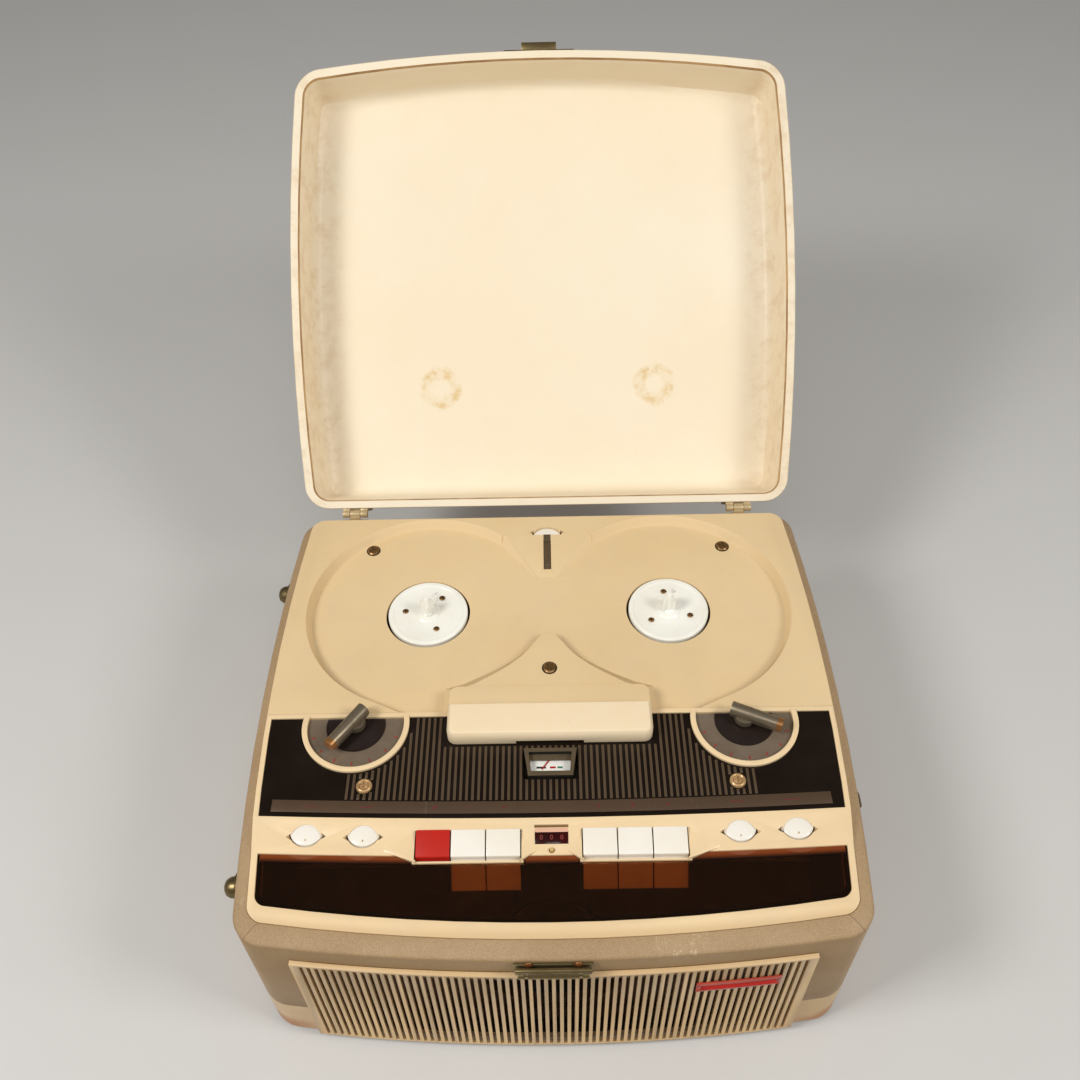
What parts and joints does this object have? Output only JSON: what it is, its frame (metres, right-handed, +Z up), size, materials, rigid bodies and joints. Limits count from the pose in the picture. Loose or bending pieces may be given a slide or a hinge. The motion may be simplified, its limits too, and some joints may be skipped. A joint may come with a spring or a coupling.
{
  "type": "reel-to-reel tape recorder",
  "caption": "Portable reel-to-reel tape recorder in a cloth-covered case, with an open hinged lid, spool wells, piano keys, edge wheels, bar knobs and a slatted front grille.",
  "frame": {"origin": "centre of the case's footprint, on the floor plane under the rubber feet", "axes": "+Z up, +Y towards the lid hinges at the back, +X to the right as seen from the keys"},
  "size_m": [0.4319, 0.671, 0.413],
  "materials": {
    "leathercloth": "embossed vinyl leathercloth over board",
    "cream_liner": "vacuum formed, satin",
    "cream_moulding": "moulded, satin",
    "cream_band": "moulded, satin",
    "deck_tan": "moulded, fine grain",
    "ribbed_brown": "dark brown, gloss",
    "smoked": "smoked translucent",
    "dial_grey": "printed, matt",
    "knob_silver": "spun and lacquered",
    "white_plastic": "moulded, glossy",
    "red_plastic": "moulded, glossy",
    "amber_plastic": "moulded, glossy",
    "black_plastic": "moulded, satin",
    "needle_red": "painted",
    "plain_steel": "ground",
    "sheet_metal": "passivated",
    "sintered_bronze": "turned",
    "aged_bronze": "lacquered, worn",
    "hinge_brass": "plated",
    "handle_vinyl": "covered grip",
    "black_rubber": "matt",
    "drive_iron": "turned and painted",
    "basket_grey": "painted",
    "cone_paper": "pressed paper",
    "base_board": "hardboard",
    "circuit_board": "paper laminate"
  },
  "bodies": {
    "case": {"case_shell": "leathercloth", "plinth_band": "cream_band", "base_panel": "base_board", "rubber_feet": "black_rubber", "baffle_board": "base_board", "speaker_basket": "basket_grey", "speaker_cone": "cone_paper", "speaker_grille": "cream_band", "catch_plate": "aged_bronze", "side_glides": "aged_bronze", "handle_brackets": "aged_bronze", "case_hinges": "hinge_brass", "socket_panel": "black_plastic", "chassis_plate": "sheet_metal", "deck_plate": "deck_tan", "head_cover": "cream_moulding", "control_frame": "cream_moulding", "ribbed_panel": "ribbed_brown", "smoked_panel": "smoked", "dial_plates": "dial_grey", "meter_bezel": "black_plastic", "counter_housing": "black_plastic", "tape_heads": "plain_steel", "bearing_bushes": "sintered_bronze", "drive_motor": "drive_iron", "drive_belt": "black_rubber", "amplifier_board": "circuit_board", "mains_transformer": "drive_iron", "key_rod": "plain_steel", "rotary_controls": "sheet_metal"},
    "lid": {"lid_shell": "leathercloth", "lid_liner": "cream_liner", "lid_catch": "aged_bronze", "lid_hinges": "hinge_brass"},
    "handle": {"carry_handle": "handle_vinyl"},
    "catch": {"catch_lever": "aged_bronze"},
    "spool_l": {"turntable_l": "white_plastic", "spool_shaft_l": "plain_steel"},
    "spool_r": {"turntable_r": "white_plastic", "spool_shaft_r": "plain_steel"},
    "capstan": {"flywheel": "drive_iron"},
    "pulley": {"motor_pulley": "sintered_bronze"},
    "arm": {"pinch_arm": "plain_steel"},
    "roller": {"pinch_roller": "black_rubber"},
    "units": {"counter_drum": "black_plastic"},
    "reset": {"counter_button": "amber_plastic"},
    "needle": {"meter_needle": "needle_red"},
    "record": {"record_key": "red_plastic"},
    "pause": {"pause_key": "white_plastic"},
    "play": {"play_key": "white_plastic"},
    "rewind": {"rewind_key": "white_plastic"},
    "stop": {"stop_key": "white_plastic"},
    "forward": {"forward_key": "white_plastic"},
    "volume": {"volume_wheel": "white_plastic"},
    "tone": {"tone_wheel": "white_plastic"},
    "monitor": {"monitor_wheel": "white_plastic"},
    "balance": {"balance_wheel": "white_plastic"},
    "speed": {"speed_wheel": "white_plastic"},
    "knob_l": {"lever_knob_l": "knob_silver"},
    "knob_r": {"lever_knob_r": "knob_silver"}
  },
  "joints": [
    {"name": "lid_swing", "type": "hinge", "parent": "case", "child": "lid", "pos_m": [0, 0.188, 0.1455], "axis": [1, 0, 0], "range_deg": [0, 134.7]},
    {"name": "handle_swing", "type": "hinge", "parent": "case", "child": "handle", "pos_m": [0.21346, 0.007, 0.095], "axis": [0, -1, 0], "range_deg": [0, 160]},
    {"name": "catch_turn", "type": "hinge", "parent": "case", "child": "catch", "pos_m": [0, -0.188, 0.133], "axis": [1, 0, 0], "range_deg": [0, 85]},
    {"name": "spool_turn_l", "type": "hinge", "parent": "case", "child": "spool_l", "pos_m": [-0.091, 0.083, 0.144], "axis": [0, 0, 1], "continuous": true},
    {"name": "spool_turn_r", "type": "hinge", "parent": "case", "child": "spool_r", "pos_m": [0.091, 0.083, 0.144], "axis": [0, 0, 1], "continuous": true},
    {"name": "capstan_turn", "type": "hinge", "parent": "case", "child": "capstan", "pos_m": [0.034, -0.015, 0.099], "axis": [0, 0, 1], "continuous": true},
    {"name": "pulley_turn", "type": "hinge", "parent": "case", "child": "pulley", "pos_m": [-0.07, -0.01, 0.099], "axis": [0, 0, 1], "continuous": true},
    {"name": "arm_turn", "type": "hinge", "parent": "case", "child": "arm", "pos_m": [0.056, -0.0042, 0.141], "axis": [0, 0, 1], "range_deg": [0, 7.6]},
    {"name": "roller_turn", "type": "hinge", "parent": "arm", "child": "roller", "pos_m": [0.034, -0.0042, 0.147], "axis": [0, 0, 1], "continuous": true},
    {"name": "units_turn", "type": "hinge", "parent": "case", "child": "units", "pos_m": [0.007, -0.106, 0.1408], "axis": [1, 0, 0], "continuous": true},
    {"name": "reset_press", "type": "slide", "parent": "case", "child": "reset", "axis": [0, 0, -1], "range_m": [0, 0.0012], "stiffness_N_per_m": 200, "springref_m": -0.001},
    {"name": "needle_swing", "type": "hinge", "parent": "case", "child": "needle", "pos_m": [0, -0.049, 0.1505], "axis": [0, 0, 1], "range_deg": [0, 70], "stiffness_Nm_per_rad": 0.00002},
    {"name": "record_press", "type": "hinge", "parent": "case", "child": "record", "pos_m": [-0.0759, -0.066, 0.132], "axis": [1, 0, 0], "range_deg": [0, 6], "stiffness_Nm_per_rad": 1, "springref_deg": -2.86},
    {"name": "pause_press", "type": "hinge", "parent": "case", "child": "pause", "pos_m": [-0.0534, -0.066, 0.132], "axis": [1, 0, 0], "range_deg": [0, 6], "stiffness_Nm_per_rad": 1, "springref_deg": -2.86},
    {"name": "play_press", "type": "hinge", "parent": "case", "child": "play", "pos_m": [-0.0309, -0.066, 0.132], "axis": [1, 0, 0], "range_deg": [0, 6], "stiffness_Nm_per_rad": 1, "springref_deg": -2.86},
    {"name": "rewind_press", "type": "hinge", "parent": "case", "child": "rewind", "pos_m": [0.0309, -0.066, 0.132], "axis": [1, 0, 0], "range_deg": [0, 6], "stiffness_Nm_per_rad": 1, "springref_deg": -2.86},
    {"name": "stop_press", "type": "hinge", "parent": "case", "child": "stop", "pos_m": [0.0534, -0.066, 0.132], "axis": [1, 0, 0], "range_deg": [0, 6], "stiffness_Nm_per_rad": 1, "springref_deg": -2.86},
    {"name": "forward_press", "type": "hinge", "parent": "case", "child": "forward", "pos_m": [0.0759, -0.066, 0.132], "axis": [1, 0, 0], "range_deg": [0, 6], "stiffness_Nm_per_rad": 1, "springref_deg": -2.86},
    {"name": "volume_turn", "type": "hinge", "parent": "case", "child": "volume", "pos_m": [-0.15799, -0.098, 0.147], "axis": [0, 0, 1], "range_deg": [-135, 135]},
    {"name": "tone_turn", "type": "hinge", "parent": "case", "child": "tone", "pos_m": [-0.12104, -0.0992, 0.147], "axis": [0, 0, 1], "range_deg": [-135, 135]},
    {"name": "monitor_turn", "type": "hinge", "parent": "case", "child": "monitor", "pos_m": [0.12104, -0.0992, 0.147], "axis": [0, 0, 1], "range_deg": [-135, 135]},
    {"name": "balance_turn", "type": "hinge", "parent": "case", "child": "balance", "pos_m": [0.15799, -0.098, 0.147], "axis": [0, 0, 1], "range_deg": [-135, 135]},
    {"name": "speed_turn", "type": "hinge", "parent": "case", "child": "speed", "pos_m": [0, 0.152, 0.146], "axis": [0, 0, 1], "range_deg": [-20, 20]},
    {"name": "knob_turn_l", "type": "hinge", "parent": "case", "child": "knob_l", "pos_m": [-0.13401, -0.021, 0.155], "axis": [0, 0, 1], "range_deg": [-34, 105]},
    {"name": "knob_turn_r", "type": "hinge", "parent": "case", "child": "knob_r", "pos_m": [0.13401, -0.021, 0.155], "axis": [0, 0, 1], "range_deg": [-135, 4]}
  ],
  "couplings": [
    {"joint": "pulley_turn", "follows": "capstan_turn", "ratio": 5.4286},
    {"joint": "arm_turn", "follows": "play_press", "ratio": 1.26},
    {"joint": "units_turn", "follows": "spool_turn_r", "ratio": 0.1}
  ]
}
